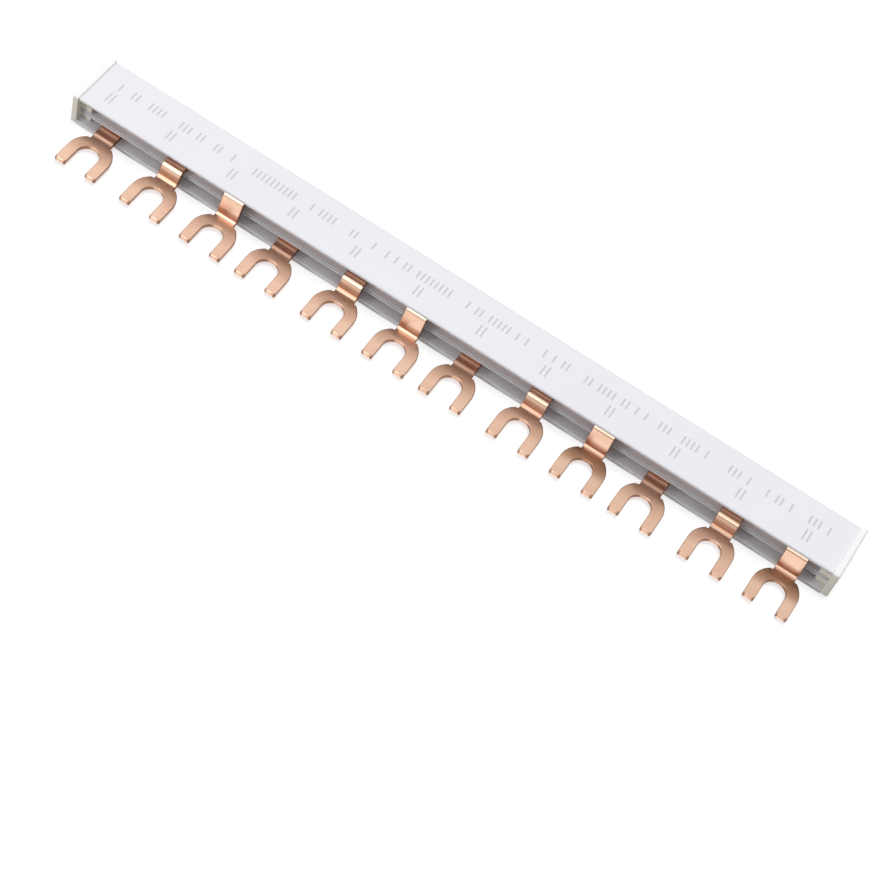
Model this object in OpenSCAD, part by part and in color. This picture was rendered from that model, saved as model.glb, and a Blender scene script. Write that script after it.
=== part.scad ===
// Three-phase comb busbar with fork terminals for a row of circuit breakers.
// Three stamped copper combs lie one above the other in an E-shaped insulating
// profile, and every third fork belongs to the same comb. All forks end in one
// plane. X runs along the row of forks, the forks point to -Y, and the profile
// stands on its floor at z = 0.

/* [Pins] */
// Distance between the centres of neighbouring forks
pin_pitch = 17.8; // [17.4:0.1:19]
// Number of forks on each of the three combs
forks_per_comb = 4; // [2:1:6]
// Length of the profile beyond half a pitch past the outer forks
end_margin = 1.1; // [0.5:0.1:4]

/* [Forks] */
// Width over both prongs of a fork
fork_w = 12; // [11:0.1:13]
// Width of the slot between the prongs
slot_w = 5.9; // [5:0.1:6.4]
// Distance from the prong tips to the centre of the slot's round end
slot_depth = 5.3; // [4.5:0.1:5.5]
// Distance from the centre of the slot's round end to that of the round shoulders
shoulder_back = 0.4; // [0:0.1:0.5]
// Corner radius of the prong tips, seen from above
tip_corner_r = 0.35; // [0.1:0.05:0.8]
// Rounding of the prong tips' upper edge
tip_edge_r = 0.5; // [0.2:0.05:0.8]
// Width of the tab that joins a fork to its bar
tab_w = 6.2; // [5.4:0.1:7.4]
// Radius of the bending relief at each side of the tab's neck
relief_r = 0.4; // [0.2:0.05:0.6]

/* [Combs] */
// Thickness of the copper strip
copper_t = 1.2; // [1:0.05:1.35]
// Width of the bar inside its slot
bar_w = 11; // [9:0.1:11.6]
// Radius on the inner side of every bend
bend_r = 0.4; // [0.25:0.05:0.5]
// Distance from the upper rib's front edge to where the top comb bends down
top_lead = 0.4; // [0.1:0.1:0.6]
// Length that the top comb's bends take up, seen from above
top_run = 3.9; // [3.4:0.1:5]
// Distance from the lower rib's front edge to where the middle comb bends down
middle_lead = 1; // [0.2:0.1:1.1]
// Length of flat tab between those bends and the fork's shoulders
neck_flat = 0.25; // [0.05:0.05:1]
// Drop from the low comb's bar to its forks
low_drop = 0.3; // [0.2:0.05:0.6]
// Distance from the floor's front edge to where the low comb's joggle starts
joggle_lead = 0.25; // [0.05:0.05:0.6]
// Length of the low comb's joggle
joggle_l = 1.2; // [1.1:0.1:1.6]
// Sideways place of the low comb within its end play
low_shift = -0.8; // [-0.8:0.1:0.8]
// Sideways place of the middle comb within its end play
middle_shift = 0.7; // [-0.8:0.1:0.8]
// Sideways place of the top comb within its end play
top_shift = 0.7; // [-0.8:0.1:0.8]

/* [Profile] */
// Depth of the top wall, from front edge to back
profile_d = 15.7; // [14.5:0.1:18]
// Thickness of the top wall
top_t = 0.7; // [0.6:0.1:1.4]
// Thickness of the back wall
back_t = 1.2; // [1:0.1:1.6]
// Thickness of the floor
floor_t = 1.2; // [0.9:0.1:1.8]
// Thickness of the upper rib
high_rib_t = 0.75; // [0.5:0.05:1]
// Thickness of the lower rib, with its groove
low_rib_t = 1.25; // [1.1:0.05:1.6]
// Height of the groove in the lower rib's front edge
groove_h = 0.5; // [0.3:0.05:0.6]
// Thickness of the thin lip above the groove
groove_lip = 0.25; // [0.2:0.05:0.35]
// Depth of the groove
groove_d = 1.5; // [0.6:0.1:3]
// Height of each slot
slot_h = 1.8; // [1.6:0.05:2.4]
// How far the floor's front edge lies in front of the top wall's
floor_lip = 0.4; // [0:0.1:1]
// How far the lower rib's front edge lies behind the top wall's
low_rib_setback = 1.3; // [1.1:0.1:1.8]
// How far the upper rib's front edge lies behind the top wall's
high_rib_setback = 1.9; // [1.5:0.1:2.6]
// Radius of the profile's two long outer edges at the back
back_edge_r = 0.6; // [0.3:0.1:0.9]
// Radius of the top wall's front edge
front_edge_r = 0.45; // [0.2:0.05:0.5]

/* [End caps] */
// Thickness of a cap's plate
cap_t = 1.8; // [1.2:0.1:3]
// How far a cap's plate stands proud of the top wall and the back wall
cap_rim = 0.3; // [0.1:0.05:0.6]
// Radius of the outer edges of a cap's plate
cap_edge_r = 0.6; // [0.3:0.1:0.9]
// Length of the tongues that plug into the slots
tongue_l = 3; // [2:0.1:5]
// Width of the tongues, from front to back
tongue_w = 12.7; // [8:0.1:12.8]

/* [Fits] */
// Gap between a bar's back edge and the bottom of its slot
bar_back_gap = 0.2; // [0.1:0.05:0.5]
// Gap between the end of a bar and the cap's tongue, with the bar in the middle
end_play = 0.9; // [0.85:0.05:1.5]
// Gap above and below a tongue in its slot
tongue_gap = 0.1; // [0.05:0.01:0.2]

/* [Hidden] */
$fn = 64;

white = [0.93, 0.93, 0.95];
ivory = [0.9, 0.88, 0.78];
copper = [0.86, 0.58, 0.42];

combs = 3;
pins = combs * forks_per_comb;
profile_l = pins * pin_pitch + 2 * end_margin;
profile_h = floor_t + 3 * slot_h + low_rib_t + high_rib_t + top_t;
bar_l = profile_l - 2 * (tongue_l + end_play);

// From the prong tips back to the fork's shoulders and to the top wall's front edge
shoulder_r = fork_w / 2;
neck_l = slot_depth + shoulder_back + sqrt(pow(shoulder_r, 2) - pow(tab_w / 2, 2));
fork_reach = neck_l + neck_flat + top_run + top_lead - high_rib_setback;

// The origin lies under the middle of the whole part, from the tips to the caps' back
total_d = fork_reach + profile_d + cap_rim;
tip_y = -total_d / 2;
front_y = tip_y + fork_reach;
back_y = front_y + profile_d;
slot_back_y = back_y - back_t;
bar_front_y = slot_back_y - bar_back_gap - bar_w;

// Heights of the three slots' floors, where the bars rest
low_z = floor_t;
middle_z = low_z + slot_h + low_rib_t;
top_z = middle_z + slot_h + high_rib_t;
slot_z = [low_z, middle_z, top_z];
fork_z = low_z - low_drop;

// Slope of the straight piece between two opposite bends that drop by h in a run of l
mid_r = bend_r + copper_t / 2;
function slope_of(h, l) =
    atan2(h - 2 * mid_r, l) + asin(2 * mid_r / sqrt(pow(l, 2) + pow(h - 2 * mid_r, 2)));

slot_y = tip_y + slot_depth;
shoulder_y = slot_y + shoulder_back;
neck_y = tip_y + neck_l;

// Where the tabs start and stop bending
top_start_y = front_y + high_rib_setback - top_lead;
middle_start_y = front_y + low_rib_setback - middle_lead;
upper_end_y = top_start_y - top_run;
low_start_y = front_y - floor_lip - joggle_lead;
low_end_y = low_start_y - joggle_l;

// Extrudes a drawing of the section (y to the right, z up) by l along X
module along_x(l) {
    translate([-l / 2, 0, 0])
        rotate([90, 0, 90])
            linear_extrude(height = l)
                children();
}

// A rectangle with four round corners, from its lower left corner
module round_rect(w, h, r) {
    translate([r, 0])
        square([w - 2 * r, h]);
    translate([0, r])
        square([w, h - 2 * r]);
    for (x = [r, w - r], y = [r, h - r])
        translate([x, y])
            circle(r = r);
}

// A thin wall of the section with a fully round front edge
module nosed_wall(y0, y1, z0, t) {
    translate([y0 + t / 2, z0])
        square([y1 - y0 - t / 2, t]);
    translate([y0 + t / 2, z0 + t / 2])
        circle(d = t);
}

// Section of the profile: top, back and floor walls with two ribs, the lower one grooved
module profile_section() {
    difference() {
        translate([front_y, 0])
            round_rect(profile_d, profile_h, back_edge_r);
        translate([front_y - 1, -1])
            square([slot_back_y - front_y + 1, profile_h + 2]);
    }
    translate([front_y + front_edge_r, profile_h - top_t])
        square([profile_d - 2 * back_edge_r, top_t]);
    translate([front_y, profile_h - top_t])
        square([2 * front_edge_r, top_t - front_edge_r]);
    translate([front_y + front_edge_r, profile_h - front_edge_r])
        circle(r = front_edge_r);
    nosed_wall(front_y + high_rib_setback, slot_back_y, top_z - high_rib_t, high_rib_t);
    difference() {
        translate([front_y + low_rib_setback, middle_z - low_rib_t])
            square([slot_back_y - front_y - low_rib_setback, low_rib_t]);
        translate([front_y, middle_z - groove_lip - groove_h])
            square([low_rib_setback + groove_d - groove_h / 2, groove_h]);
        translate([front_y + low_rib_setback + groove_d - groove_h / 2, middle_z - groove_lip - groove_h / 2])
            circle(d = groove_h);
    }
    translate([front_y - floor_lip, 0])
        square([profile_d + floor_lip - back_edge_r, floor_t]);
}

module housing() {
    color(white)
        along_x(profile_l)
            profile_section();
}

// A cap's plate with its outer edges rounded on the far face, for the right end
module cap_plate() {
    plate_d = profile_d + floor_lip + cap_rim;
    plate_h = profile_h + cap_rim;
    intersection() {
        translate([profile_l / 2 + cap_t / 2, 0, 0])
            along_x(cap_t)
                translate([front_y - floor_lip, 0])
                    round_rect(plate_d, plate_h, cap_edge_r);
        translate([profile_l / 2 - cap_t, front_y - floor_lip, -1])
            linear_extrude(height = plate_h + 2)
                round_rect(2 * cap_t, plate_d, cap_edge_r);
        translate([profile_l / 2 - cap_t, back_y + 1, 0])
            rotate([90, 0, 0])
                linear_extrude(height = plate_d + 2)
                    round_rect(2 * cap_t, plate_h, cap_edge_r);
    }
}

// Tongues that plug into the ends of the three slots
module cap_tongues() {
    for (i = [0 : combs - 1])
        translate([profile_l / 2 - tongue_l, slot_back_y - bar_back_gap - tongue_w, slot_z[i] + tongue_gap])
            cube([tongue_l + cap_edge_r, tongue_w, slot_h - 2 * tongue_gap]);
}

module end_cap_right() {
    color(ivory)
        union() {
            cap_plate();
            cap_tongues();
        }
}

module end_cap_left() {
    color(ivory)
        mirror([1, 0, 0])
            union() {
                cap_plate();
                cap_tongues();
            }
}

// Outline of a fork and its tab seen from above, centred on x = 0
module fork_plan() {
    difference() {
        union() {
            translate([-fork_w / 2, tip_y + tip_corner_r])
                square([fork_w, shoulder_y - tip_y - tip_corner_r]);
            for (side = [-1, 1], edge = [slot_w / 2 + tip_corner_r, fork_w / 2 - tip_corner_r])
                translate([side * edge, tip_y + tip_corner_r])
                    circle(r = tip_corner_r);
            for (side = [-1, 1])
                translate([side * (slot_w + fork_w) / 4 - (fork_w - slot_w) / 4 + tip_corner_r, tip_y])
                    square([(fork_w - slot_w) / 2 - 2 * tip_corner_r, 2 * tip_corner_r]);
            translate([0, shoulder_y])
                circle(r = shoulder_r);
            translate([-tab_w / 2, shoulder_y])
                square([tab_w, bar_front_y - shoulder_y + copper_t]);
        }
        translate([0, slot_y])
            circle(d = slot_w);
        translate([-slot_w / 2, tip_y - 1])
            square([slot_w, slot_depth + 1]);
        for (side = [-1, 1])
            translate([side * (tab_w / 2 + relief_r / 2), neck_y])
                circle(r = relief_r);
    }
}

// Everything below one face of a bent strip: level top, round bend of radius
// r_up, slope, round bend of radius r_low and level low, from y0 to y1 and down to z0
module below_face(top, low, r_up, r_low, start_y, end_y, slope, y0, y1, z0) {
    foot_y = end_y + r_low * tan(slope / 2);
    polygon([
        [y0, z0], [y0, low], [foot_y, low],
        [start_y - r_up * sin(slope), top - r_up + r_up * cos(slope)],
        [start_y, top - r_up], [start_y, top], [y1, top], [y1, z0]
    ]);
    translate([start_y, top - r_up])
        circle(r = r_up);
    difference() {
        polygon([
            [end_y, low], [foot_y + r_low, low - r_low],
            [end_y + r_low * sin(slope), low + r_low - r_low * cos(slope)],
            [end_y, low + r_low]
        ]);
        translate([end_y, low + r_low])
            circle(r = r_low);
    }
}

// Side view of a tab: bar level, bend down, slope, bend up, fork level
module tab_side(bar_z, start_y, end_y) {
    slope = slope_of(bar_z - fork_z, start_y - end_y);
    outer_r = bend_r + copper_t;
    root_y = bar_front_y + copper_t;
    fork_top = fork_z + copper_t;
    difference() {
        below_face(bar_z + copper_t, fork_top, outer_r, bend_r, start_y, end_y, slope, tip_y, root_y, -1);
        below_face(bar_z, fork_z, bend_r, outer_r, start_y, end_y, slope, tip_y - 1, root_y + 1, -2);
        difference() {
            translate([tip_y - 1, fork_top - tip_edge_r])
                square([tip_edge_r + 1, tip_edge_r + 1]);
            translate([tip_y + tip_edge_r, fork_top - tip_edge_r])
                circle(r = tip_edge_r);
        }
    }
}

// A comb: its bar in slot i and a fork on every third pin
module comb(i, start_y, end_y, shift) {
    color(copper)
        translate([shift, 0, 0])
            union() {
                translate([-bar_l / 2, bar_front_y, slot_z[i]])
                    cube([bar_l, bar_w, copper_t]);
                for (k = [0 : forks_per_comb - 1])
                    translate([(k * combs + i - (pins - 1) / 2) * pin_pitch, 0, 0])
                        intersection() {
                            linear_extrude(height = profile_h)
                                fork_plan();
                            along_x(fork_w + 2)
                                tab_side(slot_z[i], start_y, end_y);
                        }
            }
}

module comb_low() {
    comb(0, low_start_y, low_end_y, low_shift);
}

module comb_middle() {
    comb(1, middle_start_y, upper_end_y, middle_shift);
}

module comb_top() {
    comb(2, top_start_y, upper_end_y, top_shift);
}

housing();
end_cap_left();
end_cap_right();
comb_low();
comb_middle();
comb_top();
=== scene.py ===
import math

import bpy
from mathutils import Matrix, Vector


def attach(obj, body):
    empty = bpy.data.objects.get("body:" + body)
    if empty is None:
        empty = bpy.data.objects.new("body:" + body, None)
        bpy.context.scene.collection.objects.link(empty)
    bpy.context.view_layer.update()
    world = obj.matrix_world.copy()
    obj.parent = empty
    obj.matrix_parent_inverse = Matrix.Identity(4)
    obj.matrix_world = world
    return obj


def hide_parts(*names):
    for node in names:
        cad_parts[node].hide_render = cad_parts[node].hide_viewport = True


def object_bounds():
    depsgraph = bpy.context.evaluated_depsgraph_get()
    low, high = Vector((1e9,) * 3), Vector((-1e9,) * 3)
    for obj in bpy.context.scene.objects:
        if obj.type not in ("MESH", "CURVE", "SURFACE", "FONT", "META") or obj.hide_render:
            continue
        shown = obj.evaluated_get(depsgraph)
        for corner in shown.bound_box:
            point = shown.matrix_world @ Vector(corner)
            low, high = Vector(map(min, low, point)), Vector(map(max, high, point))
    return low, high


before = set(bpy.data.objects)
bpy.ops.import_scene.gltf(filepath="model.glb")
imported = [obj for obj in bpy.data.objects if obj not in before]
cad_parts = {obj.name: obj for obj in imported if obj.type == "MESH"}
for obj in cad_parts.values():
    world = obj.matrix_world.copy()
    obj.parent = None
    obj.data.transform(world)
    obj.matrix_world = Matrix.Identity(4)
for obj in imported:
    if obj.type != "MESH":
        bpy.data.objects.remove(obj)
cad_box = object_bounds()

MM = 0.001


def mm(*lengths):
    """Lengths in millimetres, as the metres of the scene."""
    return tuple(length * MM for length in lengths)


def beside(place, *steps):
    """The places that lie the given steps, in millimetres, beside a place."""
    return tuple(place + step * MM for step in steps)


# ---------------------------------------------------------------- camera
CAMERA_DISTANCE = 541.06 * MM
CAMERA_ELEVATION = 55.52
CAMERA_AZIMUTH = 14.95
CAMERA_ROLL = 20.13
CAMERA_AIM = Vector(mm(12.57, -23.74, 2.1))
LENS = 95.17
SENSOR = 36.0
CLIP_NEAR = 0.01
CLIP_FAR = 20

# ---------------------------------------------------------------- floor, sky and lamps
FLOOR_SIZE = 6.0
FLOOR_GAP = 0.05 * MM
FLOOR_PALE = (0.45, 0.45, 0.45, 1)
FLOOR_SHADED = (0.42, 0.42, 0.42, 1)
FLOOR_GLOW = 0.66
WHITE_LIGHT = (1, 1, 1, 1)
SKY_LIGHT = (0.98, 0.985, 1, 1)
SKY_LIGHT_FROM = (-0.30, 0.45, 0.84)
SKY_LIGHT_LOW = 0.05
SKY_LIGHT_HIGH = 0.67
SKY_LIGHT_SPAN = (-0.5, 1.0)
# The mirrored sky. Each span gives two heights, sides or depths of a direction, and what follows
# it is the sky's strength or gain at its two ends.
HORIZON_SPAN_Z = (0.20, 0.62)
HORIZON_DARK = 0.2
SKY_GREY = 0.95
BOX_SPAN_X = (-0.30, -0.04)
BOX_SPAN_Y = (0.42, 0.0)
BOX_GAIN = 1.8
SIDE_SPAN_X = (-0.33, 0.01)
LEFT_GAIN = 1.06
RIGHT_GAIN = 0.90
FRONT_SPAN_Y = (-0.35, -0.75)
FRONT_GAIN = 1.9
OVERHEAD_LAMP = {"place": (0.1, 0.4, 3.0), "size": 1.0, "power": 46.0}
LOW_LEFT_LAMP = {"place": (-0.55, -0.55, 0.22), "size": 0.12, "power": 1.7}

# ---------------------------------------------------------------- the combs' forks and tabs
PRONG_TIP_Y = cad_box[0][1]
PART_TOP = cad_box[1][2]
SHEET = 1.2 * MM
FORK_PITCH = 17.8 * MM
FORK_HALF = 6.0 * MM
SLOT_HALF = 2.95 * MM
FORK_Z = 0.9 * MM
LOW_BAR_Z = 1.2 * MM
MIDDLE_BAR_Z = 4.25 * MM
TOP_BAR_Z = 6.8 * MM
LOW_SHIFT = -0.8 * MM
UPPER_SHIFT = 0.7 * MM
NECK_Y = -3.78 * MM
LIP_Y = -1.76 * MM
ROOT_Y = 1.5 * MM
MIDDLE_BEND_Y = -0.256 * MM
TOP_BEND_Y = 0.244 * MM
ROLL_RADIUS = 0.4 * MM
MIDDLE_FOOT_RADIUS = 1.4 * MM
TOP_FOOT_RADIUS = 1.1 * MM
BEND_STEPS = 10
# Shares of the run and the drop that each step of a low tab's gentle slope takes.
LOW_TAB_EASE = ((0.2, 0.08), (0.2, 0.24), (0.2, 0.36), (0.2, 0.24), (0.2, 0.08))

# ---------------------------------------------------------------- edges
COPPER_EDGE = 0.22 * MM
PLASTIC_EDGE = 0.12 * MM
EDGE_SEGMENTS = 3
EDGE_ANGLE = 35
SMOOTH_ANGLE = 50
SAME_POINT = 0.001 * MM
FLAT_ANGLE = 0.5
FACE_WEIGHT = 100

# ---------------------------------------------------------------- colours
COPPER_COLOUR = (0.93, 0.64, 0.485, 1)
COPPER_DARK = (0.76, 0.44, 0.29, 1)
COPPER_RUBBED = (0.90, 0.60, 0.43, 1)
# Painted shade: the arch beside the housing is darkened, as where the copper mirrors the dark recess.
COPPER_ARCH_SHADE = (0.68, 0.415, 0.295, 1)
# Painted shade: the dark red that copper shows low on each steep tab face, above the concave bend, where
# it mirrors itself.
COPPER_FOOT_SHADE = (0.42, 0.17, 0.09, 1)
# Dark colour for the painted shade along the sideways edges, and for the darker corners of the prong tips.
COPPER_EDGE_COLOUR = (0.22, 0.10, 0.055, 1)
# Painted shade on the crowns of the top comb's forks on the right.
COPPER_CROWN_SHADE = (0.33, 0.16, 0.08, 1)
WHITE_COLOUR = (0.83, 0.83, 0.865, 1)
WHITE_SHADE = (0.79, 0.79, 0.825, 1)
# The cap's colour, warmed to the ivory of its shaded faces: partly its own tint, partly painted shade.
IVORY_COLOUR = (0.90, 0.875, 0.77, 1)
IVORY_SHADE = (0.86, 0.83, 0.70, 1)
# Painted light: the cap's top rim is whiter, where the light falls on it.
CAP_RIM_PAINTED_LIGHT = (0.93, 0.93, 0.93, 1)
INK = (0.52, 0.51, 0.54, 1)

# ---------------------------------------------------------------- zones of the copper's finish and of its painted shade
# Each zone gives where it begins, where it is full, where it stops being full and where it ends.
ARCH_START_Y = beside(NECK_Y, -7.7, -3.4)
BENT_ARCH_END_Y = beside(NECK_Y, -0.6, -0.1)
LEVEL_ARCH_END_Y = beside(NECK_Y, 1.6, 3.0)
FOOT_Y = beside(NECK_Y, 0.4, 0.9, 2.6, 2.9)
FOOT_Z = beside(FORK_Z, 1.3, 1.6, 2.5, 3.7)
CROWN_Y = beside(NECK_Y, -6.7, -3.2, -0.4, 0.1)
CROWN_SHADE_X = mm(20, 45, 1000, 2000)
TIP_Y = beside(PRONG_TIP_Y, -0.5, -0.3, 0.35, 0.75)
INNER_CORNER = beside(SLOT_HALF, -0.25, -0.05, 0.35, 0.75)
OUTER_CORNER = beside(FORK_HALF, -0.8, -0.4, 0.1, 0.3)
# Painted shade on the rounded edges: how far an edge's face looks upwards, and how far it looks along X.
# Edges that face sideways are darkened, as where they mirror the dark horizon.
SHADED_EDGE_UPWARD = (-0.9, -0.6, 0.88, 0.97)
SHADED_EDGE_ACROSS = (0.3, 0.5, 2.0, 3.0)
FOOT_SHADE_STRENGTH = 0.85
EDGE_DARKNESS = 0.8
TOP_COMB_CROWN_SHADE = 0.7
ARCH_ROUGHER = 0.08
CAP_RIM_LIGHT_Z = beside(PART_TOP, -0.5, -0.1, 1000, 2000)

# ---------------------------------------------------------------- roughness, from lowest to highest
COPPER_ROUGHNESS = (0.13, 0.24)
WHITE_ROUGHNESS = (0.34, 0.46)
IVORY_ROUGHNESS = (0.36, 0.5)

# ---------------------------------------------------------------- print on the top face
PIN_MARK_START = -102.1 * MM
PIN_MARK_PITCH = 18.2 * MM
PIN_MARK_STROKES = (mm(-0.85, -0.4), mm(0.4, 0.85))
PIN_MARK_Y = mm(2.2, 5.6)
ROW_Y = mm(7.0, 9.6)
ROW_STEP = 1.3 * MM
ROW_STROKE = (0.3 * ROW_STEP, 0.65 * ROW_STEP)
ROW_SPARSE = 0.22
ROW_GAPS = 0.42
ROW_WORD = 0.23
PRINT_ENDS_X = mm(-103.5, -103.4, 103.4, 103.5)
PRINT_ABOVE_Z = PART_TOP - 0.4 * MM
PRINT_SOFTNESS = 0.12 * MM
PRINT_STRENGTH = 0.75


# ---------------------------------------------------------------- node helpers
def add(tree, kind, **settings):
    """A new node. Settings that start with in_ are values of its inputs."""
    node = tree.nodes.new(kind)
    for key, value in settings.items():
        if key.startswith("in_"):
            node.inputs[key[3:].replace("_", " ")].default_value = value
        else:
            setattr(node, key, value)
    return node


def feed(tree, socket, value):
    """Gives an input a number or a colour, or links another node's output to it."""
    if isinstance(value, bpy.types.NodeSocket):
        tree.links.new(value, socket)
    else:
        socket.default_value = value


def maths(tree, operation, *values):
    node = add(tree, "ShaderNodeMath", operation=operation)
    for socket, value in zip(node.inputs, values):
        feed(tree, socket, value)
    return node.outputs[0]


def product(tree, first, *others):
    for other in others:
        first = maths(tree, "MULTIPLY", first, other)
    return first


def spread(tree, value, from_low, from_high, to_low=0.0, to_high=1.0, soft=False):
    """The range from_low to from_high stretched to the range to_low to to_high, and held there beyond."""
    node = add(tree, "ShaderNodeMapRange", interpolation_type="SMOOTHSTEP" if soft else "LINEAR")
    feed(tree, node.inputs["Value"], value)
    feed(tree, node.inputs["From Min"], from_low)
    feed(tree, node.inputs["From Max"], from_high)
    feed(tree, node.inputs["To Min"], to_low)
    feed(tree, node.inputs["To Max"], to_high)
    return node.outputs["Result"]


def zone(tree, value, begins, full_from, full_to, ends):
    """One between full_from and full_to, falling softly to nought at begins and ends."""
    return product(tree, spread(tree, value, begins, full_from, soft=True),
                   spread(tree, value, ends, full_to, soft=True))


def axes(tree, vector):
    node = add(tree, "ShaderNodeSeparateXYZ")
    feed(tree, node.inputs[0], vector)
    return (node.outputs[axis] for axis in "XYZ")


def noise(tree, vector, scale, detail, roughness):
    node = add(tree, "ShaderNodeTexNoise", in_Detail=detail, in_Roughness=roughness)
    feed(tree, node.inputs["Vector"], vector)
    feed(tree, node.inputs["Scale"], scale)
    return node.outputs["Fac"]


def layered(tree, colour, layers):
    """The colour with each layer's own colour mixed over it by the layer's amount."""
    for amount, coat in layers:
        mix = add(tree, "ShaderNodeMix", data_type="RGBA")
        feed(tree, mix.inputs["Factor"], amount)
        feed(tree, mix.inputs[6], colour)
        feed(tree, mix.inputs[7], coat)
        colour = mix.outputs[2]
    return colour


# ---------------------------------------------------------------- shared effects
def new_group(name, inputs, outputs):
    """An empty node group, its inputs by name, and a function that gives its outputs their values."""
    group = bpy.data.node_groups.new(name, "ShaderNodeTree")
    for socket_name, kind, value in inputs:
        socket = group.interface.new_socket(name=socket_name, in_out="INPUT", socket_type=kind)
        socket.default_value = value
    for socket_name in outputs:
        group.interface.new_socket(name=socket_name, in_out="OUTPUT", socket_type="NodeSocketFloat")
    start = group.nodes.new("NodeGroupInput")
    end = group.nodes.new("NodeGroupOutput")

    def put_out(**results):
        for socket_name, value in results.items():
            feed(group, end.inputs[socket_name], value)

    return group, start.outputs, put_out


def build_lengthwise_lines():
    """Fine lines along X, as rolling and extrusion leave them."""
    group, given, put_out = new_group(
        "lengthwise_lines",
        [("Vector", "NodeSocketVector", (0, 0, 0)), ("Lines per metre", "NodeSocketFloat", 3000.0),
         ("Stretch", "NodeSocketFloat", 0.03)],
        ["Mask", "Height"])
    x, y, z = axes(group, given["Vector"])
    drawn_out = add(group, "ShaderNodeCombineXYZ")
    feed(group, drawn_out.inputs["X"], product(group, x, given["Stretch"]))
    feed(group, drawn_out.inputs["Y"], y)
    feed(group, drawn_out.inputs["Z"], z)
    lines = noise(group, drawn_out.outputs[0], given["Lines per metre"], 3.0, 0.6)
    put_out(Mask=spread(group, lines, 0.35, 0.65), Height=lines)
    return group


def build_cloudy_tone():
    """Slow cloudy change of tone and a faint fine grain."""
    group, given, put_out = new_group(
        "cloudy_tone",
        [("Vector", "NodeSocketVector", (0, 0, 0)), ("Cloud scale", "NodeSocketFloat", 60.0),
         ("Grain scale", "NodeSocketFloat", 2500.0)],
        ["Clouds", "Grain"])
    clouds = noise(group, given["Vector"], given["Cloud scale"], 4.0, 0.55)
    grain = noise(group, given["Vector"], given["Grain scale"], 2.0, 0.5)
    put_out(Clouds=spread(group, clouds, 0.3, 0.7), Grain=grain)
    return group


def build_handling_marks():
    """Sparse short scratches and small spots from handling."""
    group, given, put_out = new_group(
        "handling_marks",
        [("Vector", "NodeSocketVector", (0, 0, 0)), ("Scale", "NodeSocketFloat", 180.0),
         ("Amount", "NodeSocketFloat", 0.5)],
        ["Mask"])
    slanted = add(group, "ShaderNodeMapping", in_Rotation=(0.3, 0.2, 0.9), in_Scale=(1.0, 7.0, 3.0))
    feed(group, slanted.inputs["Vector"], given["Vector"])
    scratches = noise(group, slanted.outputs[0], given["Scale"], 2.0, 0.7)
    cells = add(group, "ShaderNodeTexVoronoi", in_Randomness=1.0)
    feed(group, cells.inputs["Vector"], given["Vector"])
    feed(group, cells.inputs["Scale"], given["Scale"])
    spots = spread(group, cells.outputs["Distance"], 0.10, 0.05)
    both = maths(group, "MAXIMUM", spread(group, scratches, 0.66, 0.72), spots)
    put_out(Mask=product(group, both, given["Amount"]))
    return group


def build_top_print():
    """Plain generic print on the top face: two short strokes at each pin, and a row of strokes
    in loose groups along the middle."""
    group, given, put_out = new_group("top_print", [("Vector", "NodeSocketVector", (0, 0, 0))], ["Mask"])
    x, y, z = axes(group, given["Vector"])

    def band(value, low, high):
        return zone(group, value, low - PRINT_SOFTNESS, low + PRINT_SOFTNESS,
                    high - PRINT_SOFTNESS, high + PRINT_SOFTNESS)

    from_first = maths(group, "SUBTRACT", x, PIN_MARK_START)
    within = maths(group, "WRAP", from_first, PIN_MARK_PITCH / 2, -PIN_MARK_PITCH / 2)
    strokes = maths(group, "MAXIMUM", *(band(within, *stroke) for stroke in PIN_MARK_STROKES))
    pin_marks = product(group, strokes, band(y, *PIN_MARK_Y))

    cell = maths(group, "FLOOR", maths(group, "DIVIDE", x, ROW_STEP))
    chance = add(group, "ShaderNodeTexWhiteNoise", noise_dimensions="1D")
    feed(group, chance.inputs["W"], cell)
    word = add(group, "ShaderNodeTexNoise", noise_dimensions="1D", in_Scale=1.0, in_Detail=0.0)
    feed(group, word.inputs["W"], product(group, cell, ROW_WORD))
    shown = product(group, maths(group, "GREATER_THAN", chance.outputs["Value"], ROW_SPARSE),
                    maths(group, "GREATER_THAN", word.outputs["Fac"], ROW_GAPS))
    along = maths(group, "WRAP", x, ROW_STEP, 0.0)
    row = product(group, band(along, *ROW_STROKE), band(y, *ROW_Y), shown)

    both = maths(group, "MAXIMUM", pin_marks, row)
    on_top = maths(group, "GREATER_THAN", z, PRINT_ABOVE_Z)
    put_out(Mask=product(group, both, zone(group, x, *PRINT_ENDS_X), on_top))
    return group


lengthwise_lines = build_lengthwise_lines()
cloudy_tone = build_cloudy_tone()
handling_marks = build_handling_marks()
top_print = build_top_print()


# ---------------------------------------------------------------- materials
def place_group(tree, group, coordinates, **values):
    """A shared effect placed in a material, and its outputs."""
    node = tree.nodes.new("ShaderNodeGroup")
    node.node_tree = group
    for key, value in values.items():
        node.inputs[key.replace("_", " ")].default_value = value
    tree.links.new(coordinates, node.inputs["Vector"])
    return node.outputs


def new_material(name):
    """A material with an empty Principled shader, and the coordinates that its patterns follow."""
    material = bpy.data.materials.new(name)
    material.use_nodes = True
    tree = material.node_tree
    tree.nodes.clear()
    shader = add(tree, "ShaderNodeBsdfPrincipled")
    output = add(tree, "ShaderNodeOutputMaterial")
    tree.links.new(shader.outputs["BSDF"], output.inputs["Surface"])
    return material, tree, shader, add(tree, "ShaderNodeTexCoord").outputs["Object"]


def bump(tree, shader, height, strength, distance):
    node = add(tree, "ShaderNodeBump", in_Strength=strength, in_Distance=distance)
    tree.links.new(height, node.inputs["Height"])
    tree.links.new(node.outputs["Normal"], shader.inputs["Normal"])


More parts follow.
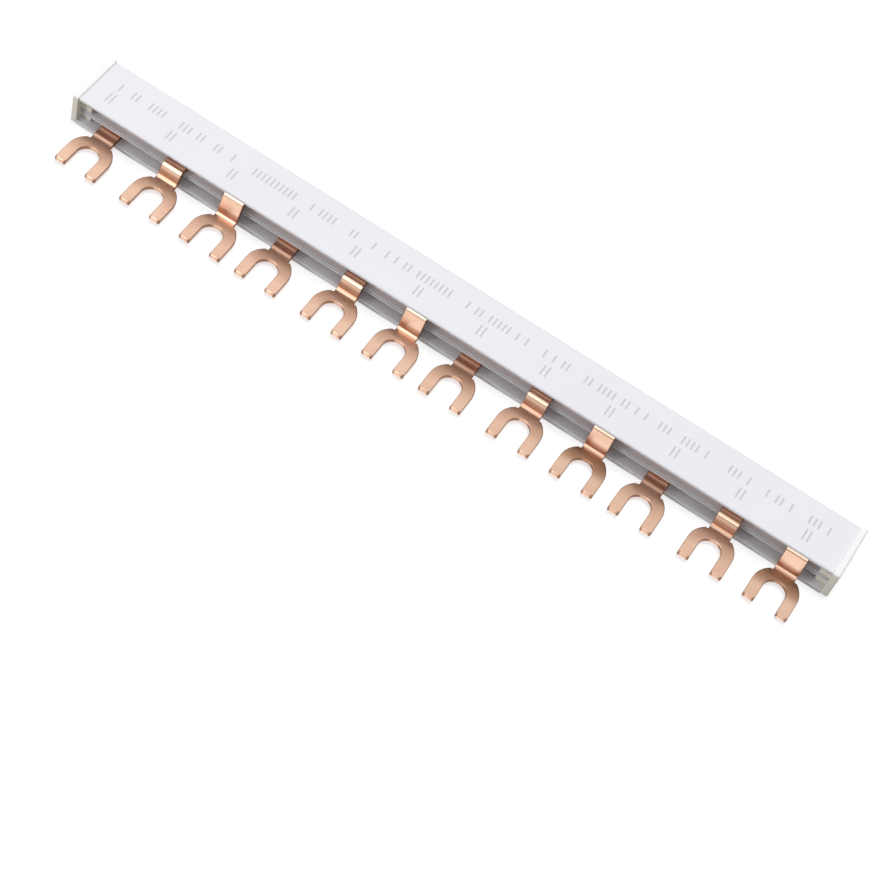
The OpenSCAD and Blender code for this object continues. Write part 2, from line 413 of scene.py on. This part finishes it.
def tip_corners(tree, x, y, fork_shift):
    """The two corners at the end of each prong, which the copper's colour darkens."""
    from_fork = maths(tree, "SUBTRACT", x, fork_shift + FORK_PITCH / 2)
    off_middle = maths(tree, "ABSOLUTE", maths(tree, "WRAP", from_fork, FORK_PITCH / 2, -FORK_PITCH / 2))
    inner = zone(tree, off_middle, *INNER_CORNER)
    outer = zone(tree, off_middle, *OUTER_CORNER)
    return product(tree, maths(tree, "MAXIMUM", inner, outer), zone(tree, y, *TIP_Y))


def make_copper(name, arch_end_y, fork_shift, crown_shade=0.0):
    """Bare copper: bright on the prongs, with painted shade round the arch, low on the bent tabs' steep
    faces and along the edges that face sideways, and darker corners at the prong tips. Painted shade
    darkens the crowns of the forks on the right."""
    material, tree, shader, coordinates = new_material(name)
    tone = place_group(tree, cloudy_tone, coordinates, Cloud_scale=140.0, Grain_scale=4200.0)
    lines = place_group(tree, lengthwise_lines, coordinates, Lines_per_metre=2600.0, Stretch=0.06)
    marks = place_group(tree, handling_marks, coordinates, Scale=420.0, Amount=0.55)
    x, y, z = axes(tree, coordinates)
    across, _, upward = axes(tree, add(tree, "ShaderNodeNewGeometry").outputs["Normal"])

    # The arch: painted shade in the colour, and a little rougher.
    arch = zone(tree, y, *ARCH_START_Y, *arch_end_y)
    # Painted shade low on each bent tab's steep face.
    foot = product(tree, zone(tree, y, *FOOT_Y), zone(tree, z, *FOOT_Z))
    # Painted shade on the crowns of the forks on the right.
    crown = product(tree, zone(tree, y, *CROWN_Y), zone(tree, x, *CROWN_SHADE_X))
    # Painted shade along the edges that face sideways, as where the copper mirrors the dark horizon.
    edge = product(tree, zone(tree, upward, *SHADED_EDGE_UPWARD),
                   zone(tree, maths(tree, "ABSOLUTE", across), *SHADED_EDGE_ACROSS))
    tips = tip_corners(tree, x, y, fork_shift)
    colour = layered(tree, COPPER_COLOUR, (
        (spread(tree, tone["Clouds"], 0, 1, 0.0, 0.45), COPPER_DARK),
        (spread(tree, lines["Mask"], 0, 1, 0.0, 0.18), COPPER_DARK),
        (marks["Mask"], COPPER_RUBBED),
        # Painted shade round the arch.
        (product(tree, arch, spread(tree, tone["Clouds"], 0, 1, 0.75, 1.0)), COPPER_ARCH_SHADE),
        (product(tree, foot, FOOT_SHADE_STRENGTH), COPPER_FOOT_SHADE),
        (product(tree, crown, crown_shade), COPPER_CROWN_SHADE),
        (product(tree, edge, EDGE_DARKNESS), COPPER_EDGE_COLOUR),
        (product(tree, tips, EDGE_DARKNESS), COPPER_EDGE_COLOUR)))
    polished = spread(tree, tone["Clouds"], 0, 1, *COPPER_ROUGHNESS)
    feed(tree, shader.inputs["Base Color"], colour)
    feed(tree, shader.inputs["Metallic"], 1.0)
    feed(tree, shader.inputs["Roughness"], maths(tree, "ADD", polished, product(tree, arch, ARCH_ROUGHER)))
    bump(tree, shader, lines["Height"], 0.25, 0.02 * MM)
    return material


def make_plastic(name, colour, shade, roughness, printed=False, rim=None):
    """Moulded or extruded plastic, with the top print, or with painted light that makes the upper rim
    paler, where asked for.
    """
    material, tree, shader, coordinates = new_material(name)
    tone = place_group(tree, cloudy_tone, coordinates, Cloud_scale=45.0, Grain_scale=3200.0)
    lines = place_group(tree, lengthwise_lines, coordinates, Lines_per_metre=1500.0, Stretch=0.02)
    marks = place_group(tree, handling_marks, coordinates, Scale=110.0, Amount=0.25)
    layers = [(spread(tree, tone["Clouds"], 0, 1, 0.0, 0.5), shade), (marks["Mask"], shade)]
    if printed:
        ink = place_group(tree, top_print, coordinates)
        layers.append((product(tree, ink["Mask"], PRINT_STRENGTH), INK))
    if rim:
        _, _, z = axes(tree, coordinates)
        # Painted light on the cap's top rim.
        layers.append((zone(tree, z, *CAP_RIM_LIGHT_Z), rim))
    feed(tree, shader.inputs["Base Color"], layered(tree, colour, layers))
    feed(tree, shader.inputs["Roughness"], spread(tree, tone["Grain"], 0, 1, *roughness))
    bump(tree, shader, lines["Height"], 0.15, 0.03 * MM)
    return material


copper = {
    "comb_low": make_copper("bare_copper_level", LEVEL_ARCH_END_Y, LOW_SHIFT),
    "comb_middle": make_copper("bare_copper", BENT_ARCH_END_Y, UPPER_SHIFT),
    "comb_top": make_copper("bare_copper_crown_shaded", BENT_ARCH_END_Y, UPPER_SHIFT, crown_shade=TOP_COMB_CROWN_SHADE)}
white_plastic = make_plastic("white_profile_plastic", WHITE_COLOUR, WHITE_SHADE, WHITE_ROUGHNESS,
                             printed=True)
ivory_plastic = make_plastic("ivory_cap_plastic", IVORY_COLOUR, IVORY_SHADE, IVORY_ROUGHNESS,
                             rim=CAP_RIM_PAINTED_LIGHT)


# ---------------------------------------------------------------- pieces
def deselect_all():
    if bpy.context.object and bpy.context.object.mode != "OBJECT":
        bpy.ops.object.mode_set(mode="OBJECT")
    bpy.ops.object.select_all(action="DESELECT")


def make_active(piece):
    deselect_all()
    piece.select_set(True)
    bpy.context.view_layer.objects.active = piece


def merged_copy(node, name):
    """A copy of the node's own shape as one clean mesh."""
    piece = bpy.data.objects.new(name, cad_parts[node].data.copy())
    bpy.context.scene.collection.objects.link(piece)
    make_active(piece)
    bpy.ops.object.mode_set(mode="EDIT")
    bpy.ops.mesh.select_all(action="SELECT")
    bpy.ops.mesh.remove_doubles(threshold=SAME_POINT)
    bpy.ops.mesh.dissolve_limited(angle_limit=math.radians(FLAT_ANGLE))
    bpy.ops.object.mode_set(mode="OBJECT")
    return piece


def cut_copy(node, name, cut_y, keep_front):
    """The part of the node in front of, or behind, one plane across the tabs, left open at the cut."""
    piece = merged_copy(node, name)
    bpy.ops.object.mode_set(mode="EDIT")
    bpy.ops.mesh.select_all(action="SELECT")
    bpy.ops.mesh.bisect(plane_co=(0, cut_y, 0), plane_no=(0, 1, 0),
                        clear_outer=keep_front, clear_inner=not keep_front, threshold=0.1 * SAME_POINT)
    bpy.ops.object.mode_set(mode="OBJECT")
    return piece


def select_open_edges():
    bpy.ops.mesh.select_mode(type="EDGE")
    bpy.ops.mesh.select_all(action="DESELECT")
    bpy.ops.mesh.select_non_manifold(extend=False, use_wire=False, use_boundary=True, use_multi_face=False,
                                     use_non_contiguous=False, use_verts=False)


def draw_out(step_y, step_z):
    """Draws the open ends of the tabs out by one straight step."""
    bpy.ops.mesh.extrude_region_move(TRANSFORM_OT_translate={"value": (0, step_y, step_z)})


def bend_ends(turn, centre_y, centre_z):
    """Bends the open ends of the tabs round a line along X. With no window, a positive turn
    takes them downwards."""
    bpy.ops.mesh.spin(steps=BEND_STEPS, angle=turn, center=(0, centre_y, centre_z), axis=(1, 0, 0))


def bent_comb(node, name, bar_z, bend_start_y, foot_radius):
    """A comb whose tabs leave the slot, roll down steeply and sweep out flat into the forks.
    Each tab is drawn out of the fork's neck: swept up, drawn straight, rolled level and drawn back."""
    forks = cut_copy(node, name, NECK_Y, True)
    bar = cut_copy(node, name + "_bar", ROOT_Y, False)
    fork_mid = FORK_Z + SHEET / 2
    bar_mid = bar_z + SHEET / 2
    foot_mid = foot_radius + SHEET / 2
    roll_mid = ROLL_RADIUS + SHEET / 2
    both = foot_mid + roll_mid
    reach = bend_start_y - NECK_Y
    rise = bar_mid - fork_mid - both
    slope = math.atan2(rise, reach) + math.asin(both / math.hypot(reach, rise))
    straight = math.sqrt(reach ** 2 + rise ** 2 - both ** 2)
    make_active(forks)
    bpy.ops.object.mode_set(mode="EDIT")
    select_open_edges()
    bend_ends(-slope, NECK_Y, fork_mid + foot_mid)
    draw_out(straight * math.cos(slope), straight * math.sin(slope))
    bend_ends(slope, bend_start_y, bar_mid - roll_mid)
    draw_out(ROOT_Y - bend_start_y, 0)
    bpy.ops.object.mode_set(mode="OBJECT")
    return join_at_root(forks, bar)


def level_comb(node, name, bar_z):
    """The lowest comb, whose tabs only ease down from the floor's lip to the forks."""
    forks = cut_copy(node, name, NECK_Y, True)
    bar = cut_copy(node, name + "_bar", ROOT_Y, False)
    make_active(forks)
    bpy.ops.object.mode_set(mode="EDIT")
    select_open_edges()
    for share_y, share_z in LOW_TAB_EASE:
        draw_out((LIP_Y - NECK_Y) * share_y, (bar_z - FORK_Z) * share_z)
    draw_out(ROOT_Y - LIP_Y, 0)
    bpy.ops.object.mode_set(mode="OBJECT")
    return join_at_root(forks, bar)


def join_at_root(forks, bar):
    """Joins the forks' tabs to the bar, and closes what stays open where they meet."""
    deselect_all()
    bar.select_set(True)
    forks.select_set(True)
    bpy.context.view_layer.objects.active = forks
    bpy.ops.object.join()
    bpy.ops.object.mode_set(mode="EDIT")
    bpy.ops.mesh.select_mode(type="VERT")
    bpy.ops.mesh.select_all(action="SELECT")
    bpy.ops.mesh.remove_doubles(threshold=SAME_POINT)
    bpy.ops.mesh.fill_holes(sides=4)
    bpy.ops.mesh.normals_make_consistent(inside=False)
    bpy.ops.object.mode_set(mode="OBJECT")
    return forks


def finish_piece(piece, node, edge, material):
    """Sharp edges slightly rounded, then the material and the piece's place in the part."""
    make_active(piece)
    bevel = piece.modifiers.new("broken_edges", "BEVEL")
    bevel.width = edge
    bevel.segments = EDGE_SEGMENTS
    bevel.limit_method = "ANGLE"
    bevel.angle_limit = math.radians(EDGE_ANGLE)
    bevel.use_clamp_overlap = False
    bpy.ops.object.modifier_apply(modifier=bevel.name)
    bpy.ops.object.shade_smooth_by_angle(angle=math.radians(SMOOTH_ANGLE))
    even = piece.modifiers.new("even_faces", "WEIGHTED_NORMAL")
    even.weight = FACE_WEIGHT
    even.keep_sharp = True
    bpy.ops.object.modifier_apply(modifier=even.name)
    piece.data.materials.clear()
    piece.data.materials.append(material)
    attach(piece, "root")
    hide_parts(node)


combs = {
    "comb_low": level_comb("comb_low", "comb_low_copper", LOW_BAR_Z),
    "comb_middle": bent_comb("comb_middle", "comb_middle_copper", MIDDLE_BAR_Z, MIDDLE_BEND_Y,
                             MIDDLE_FOOT_RADIUS),
    "comb_top": bent_comb("comb_top", "comb_top_copper", TOP_BAR_Z, TOP_BEND_Y, TOP_FOOT_RADIUS)}
for node, piece in combs.items():
    finish_piece(piece, node, COPPER_EDGE, copper[node])
finish_piece(merged_copy("housing", "profile"), "housing", PLASTIC_EDGE, white_plastic)
for node in ("end_cap_left", "end_cap_right"):
    finish_piece(merged_copy(node, node + "_moulded"), node, PLASTIC_EDGE, ivory_plastic)


# ---------------------------------------------------------------- floor, light and camera
def light_path_mix(tree, seen, lit, rays):
    """A mix of two shaders that shows `seen` to the named kinds of ray."""
    path = add(tree, "ShaderNodeLightPath")
    factor = path.outputs[rays[0]]
    for ray in rays[1:]:
        factor = maths(tree, "MAXIMUM", factor, path.outputs[ray])
    mix = add(tree, "ShaderNodeMixShader")
    tree.links.new(factor, mix.inputs[0])
    tree.links.new(lit, mix.inputs[1])
    tree.links.new(seen, mix.inputs[2])
    return mix.outputs[0]


def make_floor():
    """A pale floor that reads as white and keeps the part's shadow."""
    deselect_all()
    bpy.ops.mesh.primitive_plane_add(size=FLOOR_SIZE, location=(0, 0, -FLOOR_GAP))
    floor = bpy.context.object
    floor.name = "floor"
    material = bpy.data.materials.new("floor_white")
    material.use_nodes = True
    tree = material.node_tree
    tree.nodes.clear()
    output = add(tree, "ShaderNodeOutputMaterial")
    pale = add(tree, "ShaderNodeBsdfDiffuse", in_Color=FLOOR_PALE)
    shaded = add(tree, "ShaderNodeBsdfDiffuse", in_Color=FLOOR_SHADED)
    glow = add(tree, "ShaderNodeEmission", in_Color=WHITE_LIGHT, in_Strength=FLOOR_GLOW)
    both = add(tree, "ShaderNodeAddShader")
    tree.links.new(shaded.outputs[0], both.inputs[0])
    tree.links.new(glow.outputs[0], both.inputs[1])
    seen = light_path_mix(tree, both.outputs[0], pale.outputs[0],
                          ("Is Camera Ray", "Is Glossy Ray", "Is Transmission Ray"))
    tree.links.new(seen, output.inputs["Surface"])
    floor.data.materials.append(material)


def mirrored_sky(tree, direction):
    """The sky as metal mirrors it: dark along the horizon, grey above, and brighter in a soft box
    overhead on the left and low in front, so that flats, rolls and edges tell apart."""
    x, y, z = axes(tree, direction)
    height = spread(tree, z, *HORIZON_SPAN_Z, HORIZON_DARK, SKY_GREY, soft=True)
    box_gain = spread(tree, x, *BOX_SPAN_X, BOX_GAIN, 1.0, soft=True)
    soft_box = spread(tree, y, *BOX_SPAN_Y, 1.0, box_gain, soft=True)
    left_to_right = spread(tree, x, *SIDE_SPAN_X, LEFT_GAIN, RIGHT_GAIN)
    front = spread(tree, y, *FRONT_SPAN_Y, 1.0, FRONT_GAIN, soft=True)
    return product(tree, height, soft_box, left_to_right, front)


def make_world():
    """White to the camera, an even soft light from behind on the left, and a studio in reflections."""
    world = bpy.data.worlds.new("studio")
    world.use_nodes = True
    tree = world.node_tree
    tree.nodes.clear()
    output = add(tree, "ShaderNodeOutputWorld")
    direction = add(tree, "ShaderNodeTexCoord").outputs["Generated"]
    seen = add(tree, "ShaderNodeBackground", in_Color=WHITE_LIGHT, in_Strength=1.0)
    lit = add(tree, "ShaderNodeBackground", in_Color=SKY_LIGHT)
    mirrored = add(tree, "ShaderNodeBackground", in_Strength=1.0)
    toward = add(tree, "ShaderNodeVectorMath", operation="DOT_PRODUCT")
    tree.links.new(direction, toward.inputs[0])
    toward.inputs[1].default_value = SKY_LIGHT_FROM
    feed(tree, lit.inputs["Strength"],
         spread(tree, toward.outputs["Value"], *SKY_LIGHT_SPAN, SKY_LIGHT_LOW, SKY_LIGHT_HIGH))
    feed(tree, mirrored.inputs["Color"], mirrored_sky(tree, direction))
    reflected = light_path_mix(tree, mirrored.outputs[0], lit.outputs[0], ("Is Glossy Ray",))
    mixed = light_path_mix(tree, seen.outputs[0], reflected, ("Is Camera Ray", "Is Transmission Ray"))
    tree.links.new(mixed, output.inputs["Surface"])
    bpy.context.scene.world = world


def make_soft_light(name, place, size, power):
    """A square soft lamp that faces the middle of the part and isn't mirrored in it."""
    data = bpy.data.lights.new(name, "AREA")
    data.shape = "SQUARE"
    data.size = size
    data.energy = power
    lamp = bpy.data.objects.new(name, data)
    lamp.location = place
    lamp.rotation_euler = (-Vector(place)).to_track_quat("-Z", "Y").to_euler()
    lamp.visible_glossy = False
    bpy.context.scene.collection.objects.link(lamp)


def make_camera():
    azimuth, elevation, roll = (math.radians(a) for a in (CAMERA_AZIMUTH, CAMERA_ELEVATION, CAMERA_ROLL))
    back = Vector((math.sin(azimuth) * math.cos(elevation),
                   -math.cos(azimuth) * math.cos(elevation), math.sin(elevation)))
    level = Vector((0, 0, 1)).cross(back).normalized()
    right = level * math.cos(roll) + back.cross(level) * math.sin(roll)
    up = back.cross(right)
    data = bpy.data.cameras.new("camera")
    data.lens = LENS
    data.sensor_width = SENSOR
    data.clip_start = CLIP_NEAR
    data.clip_end = CLIP_FAR
    camera = bpy.data.objects.new("camera", data)
    place = CAMERA_AIM + back * CAMERA_DISTANCE
    camera.matrix_world = Matrix((
        (right.x, up.x, back.x, place.x),
        (right.y, up.y, back.y, place.y),
        (right.z, up.z, back.z, place.z),
        (0, 0, 0, 1)))
    bpy.context.scene.collection.objects.link(camera)
    bpy.context.scene.camera = camera


make_floor()
make_world()
make_soft_light("overhead", **OVERHEAD_LAMP)
make_soft_light("low_left", **LOW_LEFT_LAMP)
make_camera()
bpy.context.scene.view_settings.view_transform = "Standard"
